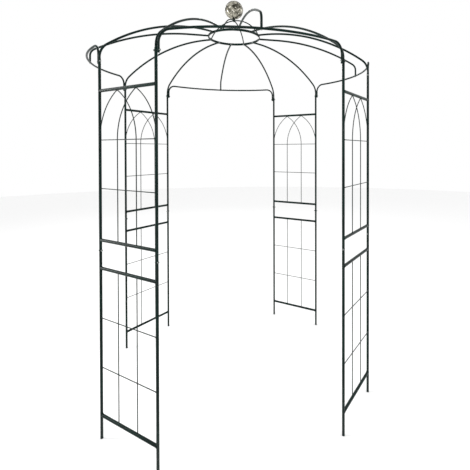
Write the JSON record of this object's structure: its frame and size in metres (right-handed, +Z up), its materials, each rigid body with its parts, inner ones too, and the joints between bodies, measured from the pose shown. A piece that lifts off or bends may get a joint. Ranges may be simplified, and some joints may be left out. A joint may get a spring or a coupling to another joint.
{
  "type": "metal trellis arch",
  "caption": "Round open rose pavilion of bolted dark green steel tube, with narrow trellis panels, open doorways, a ribbed dome and a mirrored ball on top.",
  "frame": {"origin": "on the ground, at the middle of the circle of posts", "axes": "+Z up along the axis of the circle; +X and +Y each through the middle of a doorway; trellis panels centred at 45, 135, 225 and 315 degrees from +X"},
  "size_m": [1.9572, 1.9572, 2.707],
  "materials": {
    "frame_coat": "dark green powder coat, half gloss, fine texture",
    "wire_coat": "dark green powder coat on thin rod",
    "fastener_steel": "zinc plated, darkened by weather",
    "ball_mirror": "polished silver with a mottled, hammered look"
  },
  "bodies": {
    "root": {"post_lower_1": "frame_coat", "post_lower_2": "frame_coat", "post_lower_3": "frame_coat", "post_lower_4": "frame_coat", "post_lower_5": "frame_coat", "post_lower_6": "frame_coat", "post_lower_7": "frame_coat", "post_lower_8": "frame_coat", "post_upper_1": "frame_coat", "post_upper_2": "frame_coat", "post_upper_3": "frame_coat", "post_upper_4": "frame_coat", "post_upper_5": "frame_coat", "post_upper_6": "frame_coat", "post_upper_7": "frame_coat", "post_upper_8": "frame_coat", "rails_lower_1": "frame_coat", "rails_lower_2": "frame_coat", "rails_lower_3": "frame_coat", "rails_lower_4": "frame_coat", "rails_upper_1": "frame_coat", "rails_upper_2": "frame_coat", "rails_upper_3": "frame_coat", "rails_upper_4": "frame_coat", "lattice_lower_1": "wire_coat", "lattice_lower_2": "wire_coat", "lattice_lower_3": "wire_coat", "lattice_lower_4": "wire_coat", "lattice_upper_1": "wire_coat", "lattice_upper_2": "wire_coat", "lattice_upper_3": "wire_coat", "lattice_upper_4": "wire_coat", "doorway_bar_1": "frame_coat", "doorway_bar_2": "frame_coat", "doorway_bar_3": "frame_coat", "doorway_bar_4": "frame_coat", "roof_rib_1": "frame_coat", "roof_rib_2": "frame_coat", "roof_rib_3": "frame_coat", "roof_rib_4": "frame_coat", "roof_rib_5": "frame_coat", "roof_rib_6": "frame_coat", "roof_rib_7": "frame_coat", "roof_rib_8": "frame_coat", "doorway_rib_1": "frame_coat", "doorway_rib_2": "frame_coat", "doorway_rib_3": "frame_coat", "doorway_rib_4": "frame_coat", "ring": "frame_coat", "crown": "wire_coat", "finial_hub": "frame_coat", "finial_ball": "ball_mirror", "finial_stud": "fastener_steel", "joint_bolts": "fastener_steel", "joint_nuts": "fastener_steel", "top_bolts": "fastener_steel", "top_nuts": "fastener_steel", "rib_screws": "fastener_steel", "rib_inserts": "fastener_steel"}
  },
  "joints": []
}
